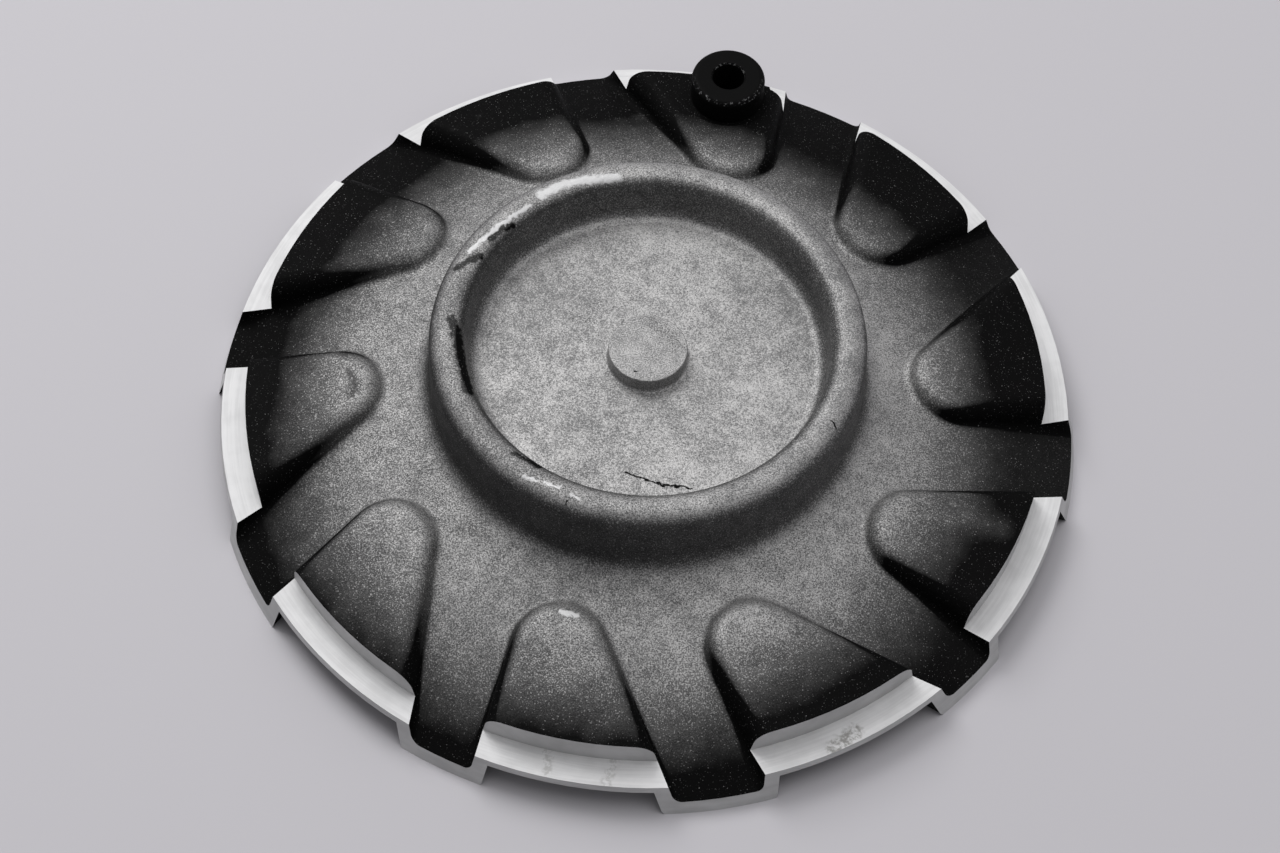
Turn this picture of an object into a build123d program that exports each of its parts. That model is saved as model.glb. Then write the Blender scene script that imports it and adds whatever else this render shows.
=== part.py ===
from build123d import *
import math
import os

# A cast aluminium wheel center cap that lies face down, its back up, with a black bush on one lobe.
# Millimetres. The cap's axis is Z, and Z = 0 is the plane that the ends of the front spokes rest on.
# Angles are in degrees, counterclockwise from X when the back is seen from above.

# Rim: a land and a step, turned all round, over an outer face that flares towards the front
rim_radius = 105.0
rim_draft = 17.0
land_width = 6.7
land_height = 8.8
step_rise = 7.35

# Web between the lobes: the troughs of the back are the spokes of the front
web_rim_height = 3.8
web_hub_height = 18.2
web_hub_radius = 57.0
web_wall = 3.5

# Lobes of the back, in five pairs of a wide one and a slim one, and the pockets inside them
pair_count = 5
wide_lobe_angle = 83.5
wide_lobe_span_angle = 24.9
wide_lobe_sweep_angle = -8.7
slim_lobe_angle = 118.1
slim_lobe_span_angle = 23.7
slim_lobe_sweep_angle = -5.9
lobe_tip_share = 0.2417
lobe_tip_radius = 11.6
lobe_tip_rise = 3.8
trough_angle = 21.5
outline_height = 13.3
lobe_draft = 10.0
lobe_shoulder_fillet = 4.5
lobe_foot_fillet = 2.0
pocket_side_wall = 3.5
pocket_land_wall = 1.6
pocket_step_wall = 3.0
pocket_crown_wall = 3.6
pocket_corner_fillet = 2.0
spoke_edge_fillet = 1.5

# Hub: a round-topped ring, the floor inside it and the stub of the pouring gate
floor_height = 26.4
floor_wall = 4.0
floor_radius = 43.2
floor_fillet = 3.0
ring_crest_height = 38.2
ring_top_radius = 48.3
ring_top_width = 8.4
ring_bead_fillet = 4.0
ring_foot_radius = 53.2
ring_foot_fillet = 5.0
stub_radius = 9.6
stub_height = 4.3
stub_edge_fillet = 0.3
stub_foot_fillet = 0.8
hub_recess_radius = 45.5
hub_recess_flare = 1.5
hub_recess_fillet = 2.0

# Bush on its spot-faced seat, with one hole that ends in the casting
bush_rim_distance = 12.5
bush_angle = 78.3
bush_outer_radius = 9.65
bush_hole_radius = 4.2
bush_height = 7.5
bush_top_fillet = 1.6
bush_hole_chamfer = 0.4
seat_margin = 2.0
seat_rise = 0.1
seat_boss_depth = 6.0
seat_hole_depth = 3.0

# How far the working solids run past the finished faces
overrun = 12.0


def polar(radius, angle):
    """A point of the plan, from its distance to the axis and its angle."""
    return Vector(radius * math.cos(math.radians(angle)), radius * math.sin(math.radians(angle)))


def working_disc(reach):
    return Cylinder(reach, 2 * reach)


class Dome:
    """A sphere about the axis, through two points given as a radius and a height."""

    def __init__(self, inner, outer):
        inner_radius, inner_height = inner
        outer_radius, outer_height = outer
        fall = inner_height - outer_height
        self.centre = (inner_height + outer_height - (outer_radius**2 - inner_radius**2) / fall) / 2
        self.radius = math.hypot(outer_radius, outer_height - self.centre)

    def height(self, radius):
        return self.centre + math.sqrt(self.radius**2 - radius**2)

    def solid(self, reach, seam_angle, wall=0.0):
        """All that lies under the dome out to a radius, or under a dome that is lower by a wall."""
        ball = Pos(0, 0, self.centre) * Rot(0, 0, seam_angle) * Sphere(self.radius - wall)
        return ball & working_disc(reach)


rim_flare = math.tan(math.radians(rim_draft))
foot_radius = rim_radius + land_height * rim_flare
web_rim_radius = rim_radius + (land_height - web_rim_height) * rim_flare
step_radius = rim_radius - land_width
tip_reach = ring_foot_radius + lobe_tip_share * (step_radius - ring_foot_radius)
step_height = land_height + step_rise
web = Dome((web_hub_radius, web_hub_height), (web_rim_radius, web_rim_height))
crown = Dome((tip_reach, step_height + lobe_tip_rise), (step_radius, step_height))
pocket_floor = Dome(
    (tip_reach, step_height + lobe_tip_rise - pocket_crown_wall),
    (step_radius, step_height - pocket_crown_wall),
)


def lobe_outline(span, sweep, inset):
    """The plan of a lobe on the X axis: two straight flanks that run from a round tip past the rim."""
    tip = polar(tip_reach + lobe_tip_radius, sweep)
    flank_feet = []
    flank_ends = []
    for side in (1, -1):
        corner = polar(rim_radius, side * span / 2) - tip
        bearing = math.degrees(math.atan2(corner.Y, corner.X))
        lean = math.degrees(math.asin(lobe_tip_radius / corner.length))
        along = polar(1, bearing - side * lean)
        outward = polar(1, bearing - side * lean + side * 90)
        foot = tip + outward * (lobe_tip_radius - inset)
        length = math.sqrt(corner.length**2 - lobe_tip_radius**2) + 4 * overrun
        flank_feet.append(foot)
        flank_ends.append(foot + along * length)
    away = (tip - (flank_ends[0] + flank_ends[1]) / 2).normalized()
    nose = tip + away * (lobe_tip_radius - inset)
    outline = Curve() + [
        Line(flank_ends[0], flank_feet[0]),
        ThreePointArc(flank_feet[0], nose, flank_feet[1]),
        Line(flank_feet[1], flank_ends[1]),
        Line(flank_ends[1], flank_ends[0]),
    ]
    return make_face(outline)


def lobe(span, sweep, inset, top, shoulder):
    """A drafted lobe under a dome, its upper edge rounded. An inset lobe is the space of a pocket."""
    foot_height = -overrun
    flare = (outline_height - foot_height) * math.tan(math.radians(lobe_draft))
    foot = Pos(0, 0, foot_height) * lobe_outline(span, sweep, inset - flare)
    prism = extrude(foot, ring_crest_height - foot_height, taper=lobe_draft)
    body = prism & top.solid(rim_radius + 2 * overrun, 180)
    top_face = body.faces().sort_by(Axis.Z)[-1]
    upper_edges = top_face.edges().sort_by_distance((0, 0, 0))[:-1]
    return fillet(upper_edges, shoulder)


def web_solid(wall):
    """All that lies under the web, its seam in a trough."""
    return web.solid(rim_radius + 3 * overrun, wide_lobe_angle - trough_angle, wall)


def lobed_solid(base, inset, top, shoulder, foot_fillet, reach):
    """A base with all ten lobes on it: once for the back, and once, smaller, for the front."""
    wide = lobe(wide_lobe_span_angle, wide_lobe_sweep_angle, inset, top, shoulder)
    slim = lobe(slim_lobe_span_angle, slim_lobe_sweep_angle, inset, top, shoulder)
    lobes = []
    for pair in range(pair_count):
        turn = pair * 360 / pair_count
        lobes.append(Rot(0, 0, wide_lobe_angle + turn) * wide)
        lobes.append(Rot(0, 0, slim_lobe_angle + turn) * slim)
    disc = working_disc(reach)
    joined = (base + lobes) & disc
    seams = new_edges(base, *lobes, disc, combined=joined)
    foot_edges = seams.filter_by(lambda edge: edge.center().length < rim_radius)
    return fillet(foot_edges, foot_fillet)


def turned(points, radii):
    """A solid of revolution under a profile that starts at the axis, its corners rounded."""
    last = Vector(points[-1])
    profile = FilletPolyline(*points, radius=radii)
    closing = Polyline(last, (0, last.Y), points[0])
    return revolve(Plane.XZ * make_face(Curve() + [profile, closing]), Axis.Z)


def hub():
    """The drum of the hub in one profile: the gate's stub, the floor and the round-topped ring."""
    ring_inner = ring_top_radius - ring_top_width / 2
    ring_outer = ring_top_radius + ring_top_width / 2
    corners = [
        (stub_radius, floor_height + stub_height),
        (stub_radius, floor_height),
        (floor_radius, floor_height),
        (ring_inner, ring_crest_height),
        (ring_outer, ring_crest_height),
    ]
    start = (0, floor_height + stub_height)
    foot = (ring_foot_radius, web.height(ring_foot_radius) - web_wall / 2)
    return turned(
        [start, *corners, foot],
        [stub_edge_fillet, stub_foot_fillet, floor_fillet, ring_bead_fillet, ring_bead_fillet],
    )


def hub_recess():
    """The flat-floored hollow behind the hub, open to the front."""
    floor = floor_height - floor_wall
    return turned(
        [
            (0, floor),
            (hub_recess_radius, floor),
            (hub_recess_radius + hub_recess_flare, floor - 2 * overrun),
        ],
        [hub_recess_fillet],
    )


bush_axis = polar(rim_radius - bush_rim_distance, bush_angle)
seat_height = crown.height(rim_radius - bush_rim_distance) + seat_rise


def upright(radius, low, high):
    """A cylinder on the bush's axis, between two heights."""
    rod = Cylinder(radius, high - low, align=(Align.CENTER, Align.CENTER, Align.MIN))
    return Pos(bush_axis.X, bush_axis.Y, low) * rod


def outside(radius, low):
    """The space outside a radius and above a height."""
    tall = ring_crest_height - low
    ring = Cylinder(rim_radius + 2 * overrun, tall) - Cylinder(radius, tall)
    return Pos(0, 0, low + tall / 2) * ring


def cap_casting():
    dome, drum = web_solid(0.0), hub()
    back_base = dome + drum
    back_base = fillet(new_edges(dome, drum, combined=back_base), ring_foot_fillet)
    back = lobed_solid(
        back_base, 0.0, crown, lobe_shoulder_fillet, lobe_foot_fillet, rim_radius + overrun / 2
    )
    front_base = web_solid(web_wall) + hub_recess()
    front = lobed_solid(
        front_base,
        pocket_side_wall,
        pocket_floor,
        pocket_corner_fillet,
        spoke_edge_fillet,
        rim_radius + overrun,
    )
    front -= outside(step_radius - pocket_step_wall, land_height - pocket_land_wall)
    crest_radius = foot_radius - ring_crest_height * rim_flare
    blank = Cone(
        foot_radius, crest_radius, ring_crest_height, align=(Align.CENTER, Align.CENTER, Align.MIN)
    )
    body = (back - front) & blank
    seat_radius = bush_outer_radius + seat_margin
    body += upright(seat_radius, seat_height - seat_boss_depth, seat_height)
    body -= upright(seat_radius, seat_height, ring_crest_height)
    body -= upright(bush_hole_radius, seat_height - seat_hole_depth, seat_height)
    return body - outside(step_radius, land_height)


def mounting_bush():
    sleeve = upright(bush_outer_radius, seat_height, seat_height + bush_height)
    sleeve = fillet(sleeve.edges().sort_by(Axis.Z)[-1], bush_top_fillet)
    sleeve -= upright(bush_hole_radius, seat_height, seat_height + bush_height)
    top_face = sleeve.faces().sort_by(Axis.Z)[-1]
    return chamfer(top_face.inner_wires()[0].edges(), bush_hole_chamfer)


os.makedirs("parts", exist_ok=True)
export_step(cap_casting(), "parts/cap_casting.step")
export_step(mounting_bush(), "parts/mounting_bush.step")
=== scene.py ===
# %% [markdown]
# # A cast aluminium wheel center cap, lying face down
# The object is the back of a wheel cap: one aluminium casting with ten swept lobes, a tall ring
# round the hub and a turned rim, and one black bush near the edge. The solids come ready made, so
# this lesson is about finishes: raw casting, black overspray, turned metal, and the marks that
# years have left. Lengths are in metres unless a name ends in mm, and angles are in degrees.

# %% Load the solids
import bpy
import math
from mathutils import Matrix, Vector

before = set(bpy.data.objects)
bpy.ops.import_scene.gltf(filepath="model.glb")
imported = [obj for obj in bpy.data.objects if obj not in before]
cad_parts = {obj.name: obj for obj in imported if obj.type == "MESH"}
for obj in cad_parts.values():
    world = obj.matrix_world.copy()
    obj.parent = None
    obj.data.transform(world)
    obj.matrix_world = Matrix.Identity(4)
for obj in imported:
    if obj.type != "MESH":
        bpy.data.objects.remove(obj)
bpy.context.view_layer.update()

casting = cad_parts["cap_casting"]
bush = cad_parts["mounting_bush"]
print("casting has", len(casting.data.polygons), "faces, bush has", len(bush.data.polygons))

# %% [markdown]
# ## Smooth shading
# The solids arrive as triangles. A casting is smooth over its fillets and crisp only where a tool
# has cut it, so faces are shaded smooth, and edges are kept sharp where two faces meet at a wide
# angle.

# %% Shade the two pieces
sharp_angle = math.radians(32)
for piece in (casting, bush):
    piece.data.shade_smooth()
    piece.data.set_sharp_from_angle(angle=sharp_angle)
print("shaded", casting.name, "and", bush.name)

# %% [markdown]
# ## A short way to wire nodes
# A finish is a board of nodes. Written out one by one, the nodes hide the idea, so this class has
# one short call for each kind that the finishes use. Each call adds a node and gives back its
# output. These first calls wire sockets and do plain arithmetic.


# %% Make the board
class Board:
    """The nodes of one material, or of the world."""

    def __init__(self, owner, shader_name="Principled BSDF"):
        owner.use_nodes = True
        self.owner = owner
        self.nodes = owner.node_tree.nodes
        self.links = owner.node_tree.links
        self.shader = self.nodes[shader_name]

    def plug(self, socket, value):
        """Link an output to a socket, or put a constant on it."""
        if isinstance(value, bpy.types.NodeSocket):
            self.links.new(value, socket)
        else:
            socket.default_value = value

    def shade(self, socket_name, value):
        self.plug(self.shader.inputs[socket_name], value)

    def source(self, kind, output):
        """An output of a node that needs no input."""
        return self.nodes.new(kind).outputs[output]

    def parts(self, vector):
        """The X, Y and Z of a vector."""
        node = self.nodes.new("ShaderNodeSeparateXYZ")
        self.plug(node.inputs[0], vector)
        return node.outputs

    def math(self, operation, first, second=0.0, clamp=False):
        node = self.nodes.new("ShaderNodeMath")
        node.operation = operation
        node.use_clamp = clamp
        self.plug(node.inputs[0], first)
        self.plug(node.inputs[1], second)
        return node.outputs[0]

    def vector(self, operation, first, second=(0.0, 0.0, 0.0)):
        node = self.nodes.new("ShaderNodeVectorMath")
        node.operation = operation
        self.plug(node.inputs[0], first)
        self.plug(node.inputs[1], second)
        gives_number = operation in ("DOT_PRODUCT", "LENGTH")
        return node.outputs["Value" if gives_number else "Vector"]

    def add(self, first, second):
        return self.math("ADD", first, second)

    def minus(self, first, second):
        return self.math("SUBTRACT", first, second)

    def times(self, first, *others):
        for other in others:
            first = self.math("MULTIPLY", first, other)
        return first

    def most(self, first, *others):
        for other in others:
            first = self.math("MAXIMUM", first, other)
        return first

    def total(self, *weighted):
        """The sum of values, each times its weight."""
        values = [self.times(value, weight) for value, weight in weighted]
        result = values[0]
        for value in values[1:]:
            result = self.add(result, value)
        return result


print("the board has", len([name for name in vars(Board) if name[0] != "_"]), "plain calls")

# %% [markdown]
# ## Masks and mixes
# A mask is a number from 0 to 1 that says how much of a finish lies at a point. These calls make
# masks from limits, from noise and from the distance to a path, and they mix colours and numbers
# by a mask. All limits are real sizes, so a mask stays on its feature from any side.


# %% Add masks to the board
class Finish(Board):
    """A board with masks."""

    def without(self, mask, taken):
        return self.times(mask, self.math("SUBTRACT", 1.0, taken, clamp=True))

    def fade(self, value, start, end):
        """0 at start and 1 at end, with a smooth change between; start may be the larger one."""
        node = self.nodes.new("ShaderNodeMapRange")
        node.interpolation_type = "SMOOTHSTEP"
        self.plug(node.inputs["Value"], value)
        self.plug(node.inputs["From Min"], start)
        self.plug(node.inputs["From Max"], end)
        return node.outputs[0]

    def band(self, value, low, high, softness):
        """1 between low and high, 0 outside, with soft borders."""
        rise = self.fade(value, low - softness, low)
        fall = self.fade(value, high + softness, high)
        return self.times(rise, fall)

    def noise(self, place, grain, detail=2.0, roughness=0.5, output=0):
        """Noise whose blotches are about one grain across."""
        node = self.nodes.new("ShaderNodeTexNoise")
        self.plug(node.inputs["Vector"], place)
        node.inputs["Scale"].default_value = 1.0 / grain
        node.inputs["Detail"].default_value = detail
        node.inputs["Roughness"].default_value = roughness
        return node.outputs[output]

    def near(self, place, path, width, core):
        """1 along a path, 0 from one width away; the core is the share of the width that is 1."""
        distance = None
        for start, end in zip(path, path[1:]):
            along = Vector(end) - Vector(start)
            offset = self.vector("SUBTRACT", place, start)
            share = self.vector("DOT_PRODUCT", offset, along / along.length_squared)
            share = self.math("MULTIPLY", share, 1.0, clamp=True)
            reached = self.nodes.new("ShaderNodeVectorMath")
            reached.operation = "SCALE"
            reached.inputs[0].default_value = along
            self.plug(reached.inputs["Scale"], share)
            gap = self.vector("SUBTRACT", offset, reached.outputs["Vector"])
            step = self.vector("LENGTH", gap)
            distance = step if distance is None else self.math("MINIMUM", distance, step)
        return self.fade(distance, width, core * width)

    def blend(self, factor, first, second):
        """One colour laid over another."""
        node = self.nodes.new("ShaderNodeMix")
        node.data_type = "RGBA"
        self.plug(node.inputs[0], factor)
        self.plug(node.inputs[6], first)
        self.plug(node.inputs[7], second)
        return node.outputs[2]

    def between(self, factor, first, second):
        """One number that goes over into another."""
        node = self.nodes.new("ShaderNodeMix")
        self.plug(node.inputs[0], factor)
        self.plug(node.inputs[2], first)
        self.plug(node.inputs[3], second)
        return node.outputs[0]


print("masks add", len([name for name in vars(Finish) if name[0] != "_"]), "calls")

# %% [markdown]
# ## Where a point lies on the casting
# A finish on a turned, round thing is easiest to place by radius, height and the way a face looks.
# The object coordinates give the place. The normal gives two things, how far a face looks up and
# how far it looks outward, and so which faces are flanks and walls.

# %% Read place and facing
metal = Finish(bpy.data.materials.new("cast_aluminium"))
place = metal.source("ShaderNodeTexCoord", "Object")
facing = metal.source("ShaderNodeNewGeometry", "Normal")
height = metal.parts(place)["Z"]
plan_place = metal.vector("MULTIPLY", place, (1.0, 1.0, 0.0))
radius = metal.vector("LENGTH", plan_place)
outward = metal.vector("NORMALIZE", plan_place)
facing_up = metal.parts(facing)["Z"]
facing_out = metal.vector("DOT_PRODUCT", facing, outward)


def towards(angle):
    """1 on the side of the cap that lies at this angle from +X, -1 on the far side."""
    direction = (math.cos(math.radians(angle)), math.sin(math.radians(angle)), 0.0)
    return metal.vector("DOT_PRODUCT", outward, direction)


print("the casting's board reads radius, height and facing with", len(metal.nodes), "nodes")

# %% [markdown]
# ## Raw casting
# Sand leaves aluminium a matt grey with a fine salt-and-pepper grain and broad pale and dark
# clouds. Three layers of noise at three real sizes give that: grain of a third of a millimetre,
# blotches of a few millimetres and clouds of a few centimetres.

# %% Mix the casting grey
grain_size, blotch_size, cloud_size = 0.00032, 0.004, 0.030
grain_share, blotch_share, cloud_share = 0.55, 0.25, 0.20
darkest_tone, palest_tone = 0.36, 0.64
cast_dark, cast_pale = 0.17, 0.47
warm_tint = (1.0, 0.99, 0.975)


def grey(value, tint=(1.0, 1.0, 1.0)):
    return (value * tint[0], value * tint[1], value * tint[2], 1.0)


grain = metal.noise(place, grain_size, detail=1.0)
blotches = metal.noise(place, blotch_size, detail=3.0, roughness=0.6)
clouds = metal.noise(place, cloud_size)
cast_tone = metal.total((grain, grain_share), (blotches, blotch_share), (clouds, cloud_share))
cast_level = metal.fade(cast_tone, darkest_tone, palest_tone)
cast_colour = metal.blend(cast_level, grey(cast_dark), grey(cast_pale, warm_tint))
print("raw casting runs from", cast_dark, "to", cast_pale)

# %% [markdown]
# ## How dense the black mist is
# The front of the cap was sprayed black, and the mist came round the rim onto the back. Each zone
# below adds to a density that runs from 0 to 1. The zones of the ring's walls and the lobes' flanks
# add painted shade to it as well. First comes a thin film over the whole web. The ring sheltered
# the floor inside it, so the film is thinner there.

# %% Density of the thin film
ring_inner_radius, ring_softness = 0.0441, 0.001
sheltered_film, open_film = 0.10, 0.23
film_side_angle, film_side_extra = 180.0, 0.08
past_ring = metal.fade(radius, ring_inner_radius - ring_softness, ring_inner_radius + ring_softness)
film_side = metal.times(towards(film_side_angle), film_side_extra)
web_film = metal.times(past_ring, metal.add(film_side, open_film))
density = metal.add(web_film, sheltered_film)
web_level = round(sheltered_film + open_film, 2)
print("the film is", sheltered_film, "inside the ring and about", web_level, "on the web")

# %% [markdown]
# Towards the rim the mist grows dense, sooner on the two sides where more spray came round. The
# radius where it thickens is shifted by the side, and noise lets it drift, so that the border
# isn't a drawn circle.

# %% Density towards the rim
mist_radius, mist_level = 0.0845, 0.72
mist_reach_in, mist_reach_out = 0.022, 0.016
main_spray_angle, main_spray_shift = 40.0, 0.0110
second_spray_angle, second_spray_shift = 168.0, 0.005
second_spray_start, second_spray_full = 0.70, 1.00
drift_size, drift_shift = 0.007, 0.006
noise_middle = 0.5
main_spray = towards(main_spray_angle)
second_spray = metal.fade(towards(second_spray_angle), second_spray_start, second_spray_full)
drifts = metal.add(metal.noise(place, drift_size, detail=3.0), -noise_middle)
mist_shift = metal.total(
    (main_spray, -main_spray_shift), (second_spray, -second_spray_shift), (drifts, drift_shift)
)
mist_middle = metal.add(mist_shift, mist_radius)
mist_start = metal.add(mist_middle, -mist_reach_in)
mist_full = metal.add(mist_middle, mist_reach_out)
density = metal.add(density, metal.times(metal.fade(radius, mist_start, mist_full), mist_level))
sprayed_mm = round(1000 * (mist_radius - main_spray_shift), 1)
spared_mm = round(1000 * (mist_radius + main_spray_shift), 1)
print("the mist thickens at radius", sprayed_mm, "mm on one side and", spared_mm, "mm on the other")

# %% [markdown]
# The lobes stand higher than the web, so they caught a little more. The web is a dome about the
# axis, and a point belongs to a lobe when it lies above that dome.

# %% Density on the lobes
web_dome_centre, web_dome_radius = -0.2702, 0.2940
lobe_start_rise, lobe_full_rise = 0.0012, 0.0035
lobe_start_radius, lobe_full_radius = 0.066, 0.082
lobe_extra = 0.08
dome_drop = metal.minus(web_dome_radius**2, metal.times(radius, radius))
dome_height = metal.add(metal.math("SQRT", dome_drop), web_dome_centre)
above_web = metal.minus(height, dome_height)
raised = metal.fade(above_web, lobe_start_rise, lobe_full_rise)
on_lobe = metal.times(raised, metal.fade(radius, lobe_start_radius, lobe_full_radius))
density = metal.add(density, metal.times(on_lobe, lobe_extra))
print("the lobes have", lobe_extra, "more than the web")

# %% [markdown]
# Spray settles on whatever faces it. The outer wall of the ring and the flanks of the lobes look
# outward and are darkest. Their black is partly spray and partly painted shade on steep faces. The
# inner wall of the ring is darkened too, as painted shade on bare metal. The whole front, which is
# below, is painted.

# %% Density by facing
level_facing, steep_facing = 0.96, 0.55
flank_start_radius, flank_full_radius = 0.0600, 0.0680
flank_start_facing, flank_full_facing = -1.30, 0.30
front_start_facing, front_full_facing = 0.02, -0.10
outer_wall_spray_and_shade, inner_wall_painted_shade, flank_spray_and_shade = 0.46, 0.48, 0.50


def wall(low, high, softness, start_facing, full_facing):
    """A wall between two radii that looks outward, or inward where the facings are negative."""
    looks = metal.fade(facing_out, start_facing, full_facing)
    return metal.times(metal.band(radius, low, high, softness), looks)


# The shares below darken the walls. The inner wall gets painted shade only. The outer wall and the
# flanks get spray and painted shade together.
outer_wall = wall(low=0.0485, high=0.0575, softness=0.0025, start_facing=0.50, full_facing=0.97)
inner_wall = wall(low=0.0400, high=0.0475, softness=0.0010, start_facing=-0.30, full_facing=-0.85)
flank = metal.times(
    metal.fade(facing_up, level_facing, steep_facing),
    metal.fade(radius, flank_start_radius, flank_full_radius),
    metal.fade(facing_out, flank_start_facing, flank_full_facing),
)
front = metal.fade(facing_up, front_start_facing, front_full_facing)
walls = metal.total(
    (outer_wall, outer_wall_spray_and_shade), (inner_wall, inner_wall_painted_shade), (flank, flank_spray_and_shade)
)
density = metal.most(metal.add(density, walls), front)
print("walls and flanks add", outer_wall_spray_and_shade, inner_wall_painted_shade, "and", flank_spray_and_shade)

# %% [markdown]
# ## Marks of use
# The cap has been handled and knocked. Each mark is a short path on the surface, in millimetres,
# as one would draw it with a finger. The place is jittered first, so that no mark has a ruled
# edge, and heights count for less than distances in plan, so that a mark follows a rounded top.

# %% Read a jittered place
jitter_size = 1 / 700
jitter_reach = (0.0022, 0.0022, 0.0)
mark_flattening = (1.0, 1.0, 0.25)
mark_core, smear_core = 0.35, -0.6
jitter = metal.noise(place, jitter_size, output="Color")
jitter = metal.vector("SUBTRACT", jitter, (noise_middle, noise_middle, noise_middle))
jitter = metal.vector("MULTIPLY", jitter, jitter_reach)
mark_place = metal.vector("MULTIPLY", metal.vector("ADD", place, jitter), mark_flattening)


def mark(height_mm, path_mm, width_mm, core=mark_core):
    """A mark along points in plan, all at one height."""
    flat_height = height_mm / 1000 * mark_flattening[2]
    path = [(x / 1000, y / 1000, flat_height) for x, y in path_mm]
    return metal.near(mark_place, path, width_mm / 1000, core)


def smear(height_mm, path_mm, width_mm):
    """A mark that has no edge."""
    return mark(height_mm, path_mm, width_mm, core=smear_core)


print("marks keep a core of", mark_core, "of their width")

# %% [markdown]
# Wear has brought out bare metal: a long streak and nicks on the ring's crest, a line on its outer
# foot. The bright spot on one lobe's tip is a painted highlight, laid the same way. Three lobes
# have a pale smear, where the mist has been wiped thinner.

# %% Bare metal and a painted highlight
worn_and_highlight = metal.most(
    mark(37.8, [(-28.0, 39.2), (-22.7, 42.6), (-15.8, 44.7), (-9.1, 45.6)], 1.7),
    mark(37.8, [(-44.1, 21.5), (-37.3, 29.6), (-30.3, 36.1)], 0.9),
    mark(38.0, [(-27.7, -41.5), (-24.7, -42.7)], 0.6),
    mark(38.0, [(-22.6, -42.9), (-19.1, -44.1)], 0.5),
    mark(38.0, [(-16.7, -45.9), (-14.8, -46.9)], 0.5),
    # A painted highlight on one lobe's tip, laid like the worn places.
    mark(19.8, [(-18.0, -66.3), (-14.2, -67.2)], 0.9),
    mark(28.0, [(0.0, -54.3), (6.7, -53.8), (12.9, -52.5)], 0.35),
)
pale_smears = metal.most(
    smear(18.5, [(-54.4, 75.2), (-48.8, 80.4), (-41.6, 83.4)], 7.0),
    smear(17.2, [(-4.0, 87.2), (-1.7, 91.0), (-0.2, 93.5)], 4.0),
    smear(18.0, [(76.8, -36.0), (85.0, -38.4)], 9.0),
)
print("the board has", len(metal.nodes), "nodes with the worn places")

# %% [markdown]
# Other marks are dark. Smudges of paint lie on the ring and on one lobe. A crack runs over the
# floor, and short ones cross the ring. Cracks are black however thin the mist is, so they are kept
# apart from the smudges.

# %% Smudges and cracks
smudges = metal.most(
    mark(37.0, [(-47.1, 1.3), (-45.2, -5.2), (-43.4, -13.6), (-42.0, -18.3)], 1.7),
    mark(37.6, [(-47.1, 16.2), (-43.9, 18.7), (-41.6, 20.3)], 1.2),
    mark(37.6, [(-39.5, 25.5), (-37.2, 28.0), (-34.6, 30.2)], 1.2),
    mark(37.0, [(-30.4, -35.4), (-24.5, -38.1)], 1.2),
    mark(36.8, [(9.1, -52.3), (13.2, -51.6), (17.3, -50.4)], 0.7),
    smear(19.6, [(-74.4, 3.7), (-70.2, 3.8)], 3.4),
    smear(19.6, [(-72.6, -2.7), (-70.8, -6.1), (-71.5, -9.0)], 2.4),
)
cracks = metal.most(
    mark(26.4, [(-4.2, -32.6), (0.8, -34.3), (3.9, -35.3), (6.3, -35.8), (11.2, -36.1)], 0.45),
    mark(38.0, [(-17.1, -47.2), (-19.2, -50.5)], 0.4),
    mark(38.0, [(43.3, -23.2), (45.2, -25.8)], 0.4),
    mark(30.7, [(-2.8, -6.7), (-2.6, -6.7)], 0.5),
)
print("the board has", len(metal.nodes), "nodes with smudges and cracks")

# %% [markdown]
# Here and there the specks lie thicker: on the floor, on the web beside the ring and on the sawn
# top of the stub. Two broad blotches darken the floor a little. All these marks change the
# density, so the same specks that make the mist also make them.

# %% Thicker specks and blotches
speckled = metal.most(
    smear(26.4, [(-18.3, -32.4), (-12.6, -34.9)], 6.0),
    smear(16.2, [(-42.2, -44.7), (-38.2, -44.8)], 4.0),
    mark(30.7, [(1.5, 6.8), (7.2, 1.2)], 3.6, core=0.0),
)
floor_blotches = metal.most(
    smear(26.4, [(30.9, 18.4), (33.4, 15.5)], 7.0),
    smear(26.4, [(-16.9, 11.0), (-11.9, 10.0)], 6.0),
)
speckled_extra, smudge_extra, floor_blotch_extra, wiped_off = 0.30, 0.45, 0.13, 0.22
marked = metal.total(
    (speckled, speckled_extra), (smudges, smudge_extra), (floor_blotches, floor_blotch_extra)
)
density = metal.add(density, marked)
density = metal.math("SUBTRACT", density, metal.times(pale_smears, wiped_off), clamp=True)
print("smudges add", smudge_extra, "and pale smears take off", wiped_off)

# %% [markdown]
# ## From density to specks
# A speck of paint is there or not, so fine noise is held against the density. Under the specks
# lies a film too fine to see as specks, which only darkens. Half of each gives the soft, grainy
# fade. Wear and the painted highlight take most of the mist off, and cracks go through it.

# %% Lay the mist
speck_size = 0.00036
clear_limit, covered_limit, speck_softness = 0.30, 0.74, 0.07
film_power = 1.7
speck_share, film_share = 0.5, 0.5
wear_and_highlight_depth = 0.9
specks = metal.noise(place, speck_size, detail=1.0, roughness=0.6)
speck_limit = metal.between(density, clear_limit, covered_limit)
speck_start = metal.add(speck_limit, speck_softness)
speck_full = metal.add(speck_limit, -speck_softness)
specked = metal.fade(specks, speck_start, speck_full)
film = metal.math("POWER", density, film_power)
# From here on the mist also holds the painted shade of the ring's walls and the lobes' flanks.
mist = metal.total((specked, speck_share), (film, film_share))
mist = metal.most(metal.without(mist, metal.times(worn_and_highlight, wear_and_highlight_depth)), cracks)
print("mist is", speck_share, "specks and", film_share, "film")

# %% [markdown]
# ## Turned metal
# A lathe cut the land, the step above it and the outer face after the casting was made, so these
# faces are bright and have no mist. Each is found by its height or radius and by the way it looks.

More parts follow.
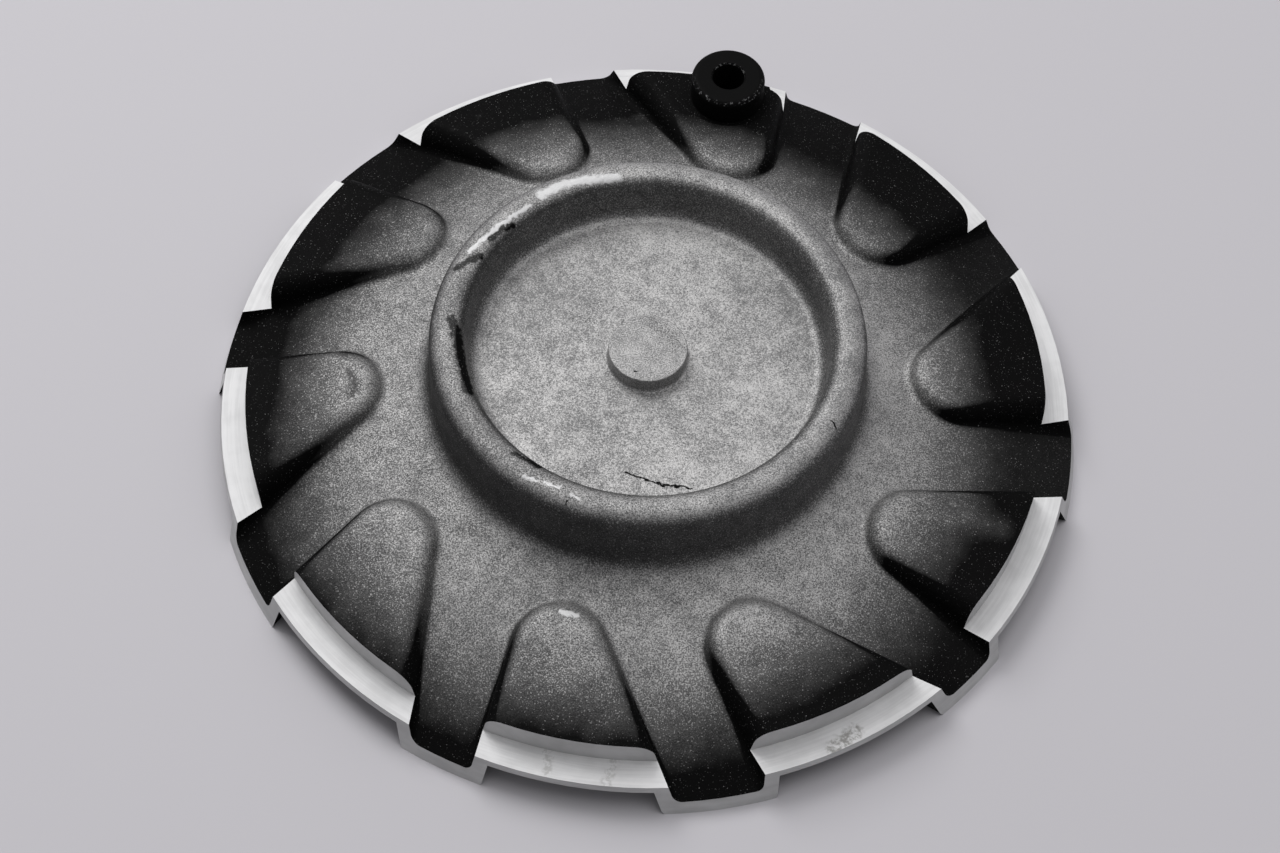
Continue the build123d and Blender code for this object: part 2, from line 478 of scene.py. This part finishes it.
# %% Find the turned faces
land_height, land_outer_radius, step_radius = 0.0088, 0.105, 0.0983
turning_tolerance = 0.0003
land_start_facing, land_full_facing = 0.80, 0.95
wall_start_facing, wall_full_facing = 0.80, 0.93
leaning_facing, upright_facing = 0.20, 0.05
step_inside, step_outside = step_radius - turning_tolerance, step_radius + turning_tolerance
looks_out = metal.fade(facing_out, wall_start_facing, wall_full_facing)
land = metal.times(
    metal.band(height, land_height, land_height + turning_tolerance, turning_tolerance),
    metal.fade(facing_up, land_start_facing, land_full_facing),
    metal.fade(radius, step_inside, step_radius),
)
step_wall = metal.times(
    metal.band(radius, step_inside, step_outside, turning_tolerance),
    looks_out,
    metal.fade(facing_up, leaning_facing, upright_facing),
)
past_land = metal.fade(radius, land_outer_radius - turning_tolerance, land_outer_radius)
outer_face = metal.times(past_land, looks_out)
turned = metal.most(land, step_wall, outer_face)
print("the land is", round(1000 * (land_outer_radius - step_radius), 1), "mm wide")

# %% [markdown]
# The land is the brightest. Its tool marks run round the axis, so the noise is stretched that way:
# it changes fast with the radius and slowly with the angle. Soft clouds lie over it.

# %% Mark the turned faces
turn_mark_size, turned_cloud_size = 0.0006, 0.006
turn_mark_share, turned_cloud_share = 0.5, 0.5
round_the_axis = 0.004
turned_dark_tone, turned_pale_tone = 0.35, 0.65
turn_mark_place = metal.nodes.new("ShaderNodeCombineXYZ")
metal.plug(turn_mark_place.inputs["X"], radius)
metal.plug(turn_mark_place.inputs["Y"], metal.times(towards(0.0), round_the_axis))
metal.plug(turn_mark_place.inputs["Z"], metal.times(towards(90.0), round_the_axis))
turn_marks = metal.noise(turn_mark_place.outputs[0], turn_mark_size)
turned_clouds = metal.noise(place, turned_cloud_size, detail=3.0)
turned_tone = metal.total((turn_marks, turn_mark_share), (turned_clouds, turned_cloud_share))
turned_level = metal.fade(turned_tone, turned_dark_tone, turned_pale_tone)
print("tool marks are", round(1000 * turn_mark_size, 1), "mm apart")

# %% [markdown]
# Three stains lie on the land at the near side, one strong and two faint. Coarse specks break them
# up. The step and the outer face were cut as well, but they are duller than the land.

# %% Colour the turned faces
land_dark, land_pale = 0.63, 0.74
edge_dark, edge_pale = 0.44, 0.54
stain_colour = (0.17, 0.165, 0.145, 1.0)
strong_stain, faint_stain = 0.75, 0.35
stain_speck_size, stain_speck_start, stain_speck_full = 0.0012, 0.40, 0.62
land_stains = metal.most(
    metal.times(mark(8.8, [(45.5, -93.4), (48.3, -91.3), (50.8, -89.1)], 2.6), strong_stain),
    metal.times(mark(8.8, [(-19.7, -95.1), (-19.4, -101.8)], 1.4), faint_stain),
    metal.times(mark(8.8, [(-3.6, -96.2), (-6.1, -104.2)], 1.8), faint_stain),
)
stain_noise = metal.noise(place, stain_speck_size, detail=3.0, roughness=0.7)
stain_specks = metal.fade(stain_noise, stain_speck_start, stain_speck_full)
land_colour = metal.blend(turned_level, grey(land_dark), grey(land_pale))
land_colour = metal.blend(metal.times(land_stains, stain_specks), land_colour, stain_colour)
edge_colour = metal.blend(turned_level, grey(edge_dark), grey(edge_pale))
turned_colour = metal.blend(land, edge_colour, land_colour)
print("the land runs from", land_dark, "to", land_pale)

# %% [markdown]
# ## The finished casting
# The layers go on in the order in which they came to be: raw casting, then black mist, then the
# turned faces that cut through both. The mist layer also carries the painted shade of the ring's
# walls and the lobes' flanks, and the casting layer a painted highlight on one lobe's tip. Paint
# isn't metal, so the mist also takes the metallic value and the sheen down.

# %% Wire the casting's colour
# The black below is both the spray paint and the painted shade on the walls and flanks.
paint_and_shade_black, worn_and_highlight_grey = 0.0030, 0.55
cast_metallic, turned_metallic = 0.60, 0.05
bare_sheen, paint_sheen = 0.40, 0.03
# The worn grey also paints the highlight on one lobe's tip.
bare_and_highlight_colour = metal.blend(worn_and_highlight, cast_colour, grey(worn_and_highlight_grey))
mist_and_shade_colour = metal.blend(mist, bare_and_highlight_colour, grey(paint_and_shade_black))
painted = metal.without(mist, turned)
unpainted_metallic = metal.between(turned, cast_metallic, turned_metallic)
metal.shade("Base Color", metal.blend(turned, mist_and_shade_colour, turned_colour))
metal.shade("Metallic", metal.without(unpainted_metallic, painted))
metal.shade("Specular IOR Level", metal.between(painted, bare_sheen, paint_sheen))
print("paint is", paint_and_shade_black, "grey")

# %% [markdown]
# The sand leaves a fine relief as well, too small to be a shape. The grain and the blotches that
# give the colour also give this relief, the cracks are sunk into it, and the turned faces have
# none of it.

# %% Wire the casting's roughness and relief
dark_roughness, pale_roughness, turned_roughness = 0.62, 0.50, 0.55
relief_strength, relief_depth = 0.30, 0.0004
grain_relief, blotch_relief, crack_relief = 0.4, 0.6, 0.6
rough_cast = metal.between(cast_level, dark_roughness, pale_roughness)
metal.shade("Roughness", metal.between(turned, rough_cast, turned_roughness))
relief = metal.total((grain, grain_relief), (blotches, blotch_relief), (cracks, -crack_relief))
bump = metal.nodes.new("ShaderNodeBump")
bump.inputs["Strength"].default_value = relief_strength
bump.inputs["Distance"].default_value = relief_depth
metal.plug(bump.inputs["Height"], metal.without(relief, turned))
metal.shade("Normal", bump.outputs[0])
casting.data.materials.clear()
casting.data.materials.append(metal.owner)
print("casting's board has", len(metal.nodes), "nodes")

# %% [markdown]
# ## The bush
# The bush is a matt black sleeve. Handling has scuffed its top edge to grey on one side. The scuff
# follows the round edge, where a face looks half up and half out, and noise breaks it up.

# %% Finish the bush
edge_low_facing, edge_high_facing, edge_softness = 0.50, 0.90, 0.08
far_side_facing, near_side_facing = 0.10, -0.35
scuff_size, scuff_start, scuff_full = 0.0007, 0.54, 0.66
sleeve_black, scuff_grey = 0.004, 0.16
dust_size, clean_roughness, dusty_roughness = 0.003, 0.42, 0.62
sleeve = Finish(bpy.data.materials.new("black_bush"))
sleeve_place = sleeve.source("ShaderNodeTexCoord", "Object")
sleeve_facing = sleeve.parts(sleeve.source("ShaderNodeNewGeometry", "Normal"))
scuff_noise = sleeve.noise(sleeve_place, scuff_size, detail=3.0, roughness=0.7)
scuff = sleeve.times(
    sleeve.band(sleeve_facing["Z"], edge_low_facing, edge_high_facing, edge_softness),
    sleeve.fade(sleeve_facing["Y"], far_side_facing, near_side_facing),
    sleeve.fade(scuff_noise, scuff_start, scuff_full),
)
dust = sleeve.noise(sleeve_place, dust_size)
sleeve.shade("Base Color", sleeve.blend(scuff, grey(sleeve_black), grey(scuff_grey)))
sleeve.shade("Specular IOR Level", paint_sheen)
sleeve.shade("Roughness", sleeve.between(dust, clean_roughness, dusty_roughness))
bush.data.materials.clear()
bush.data.materials.append(sleeve.owner)
print("bush's board has", len(sleeve.nodes), "nodes")

# %% [markdown]
# ## The table
# The cap lies on a plain pale table with no edge in sight. One large flat face is enough for that.
# It belongs to the stage and not to the object.

# %% Lay the table
table_half = 2.0
table_colour = (0.535, 0.523, 0.548, 1.0)
table_roughness = 0.7
corner_sides = [(-1, -1), (1, -1), (1, 1), (-1, 1)]
table_mesh = bpy.data.meshes.new("table")
table_corners = [(table_half * x, table_half * y, 0) for x, y in corner_sides]
table_mesh.from_pydata(table_corners, [], [(0, 1, 2, 3)])
table = bpy.data.objects.new("table", table_mesh)
bpy.context.scene.collection.objects.link(table)
table_top = Board(bpy.data.materials.new("pale_table"))
table_top.shade("Base Color", table_colour)
table_top.shade("Roughness", table_roughness)
table.data.materials.append(table_top.owner)
print("table is", 2 * table_half, "m across")

# %% [markdown]
# ## Light
# Broad soft light comes from above and behind. It is kept at a level where a colour looks about as
# it is written. The room is a little darker on the near side, as it is behind whoever looks at the
# cap, so walls that look this way stay dark.

# %% Light the room
near_side, far_side = -0.8, 0.6
near_colour, far_colour = (0.40, 0.40, 0.41, 1.0), (0.75, 0.74, 0.77, 1.0)
room_strength = 0.62
room = Finish(bpy.data.worlds.new("soft_room"), "Background")
bpy.context.scene.world = room.owner
direction_parts = room.parts(room.source("ShaderNodeTexCoord", "Generated"))
to_far_side = room.fade(direction_parts["Y"], near_side, far_side)
room.shade("Color", room.blend(to_far_side, near_colour, far_colour))
room.shade("Strength", room_strength)
print("the room has strength", room_strength)

# %% [markdown]
# Two large lamps stand in for a window and a pale ceiling. Both are turned to the middle of the
# cap, and their size gives the shadows under the rim their soft edge.


# %% Hang the lamps
def soft_lamp(name, location, size, power):
    lamp = bpy.data.lights.new(name, "AREA")
    lamp.shape = "DISK"
    lamp.size = size
    lamp.energy = power
    holder = bpy.data.objects.new(name, lamp)
    holder.location = location
    holder.rotation_mode = "QUATERNION"
    holder.rotation_quaternion = (-Vector(location)).to_track_quat("-Z", "Y")
    bpy.context.scene.collection.objects.link(holder)
    print(name, "lamp has", power, "W")


soft_lamp("window", location=(-0.5, 0.7, 1.1), size=0.9, power=10.5)
soft_lamp("ceiling", location=(0.3, 0.1, 1.4), size=1.2, power=5.5)

# %% [markdown]
# ## Camera
# The camera looks down at the cap from the near side, from about arm's length, and is rolled a
# little, as a hand-held one is.

# %% Set the camera
camera_elevation = math.radians(58.289)
camera_roll = math.radians(2.020)
camera_distance = 0.60827
camera_target = Vector((-0.00125, -0.00882, land_height))
camera_data = bpy.data.cameras.new("camera")
camera_data.sensor_width = 36.0
camera_data.lens = 69.29
camera = bpy.data.objects.new("camera", camera_data)
camera_back = Vector((0.0, -math.cos(camera_elevation), math.sin(camera_elevation)))
stand = Matrix.Translation(camera_target + camera_back * camera_distance)
tilt = Matrix.Rotation(math.pi / 2 - camera_elevation, 4, "X")
roll = Matrix.Rotation(camera_roll, 4, "Z")
camera.matrix_world = stand @ tilt @ roll
bpy.context.scene.collection.objects.link(camera)
bpy.context.scene.camera = camera
bpy.context.scene.view_settings.view_transform = "Standard"
print("camera stands", round(camera_distance, 3), "m from the cap")

# %% [markdown]
# ## Closing
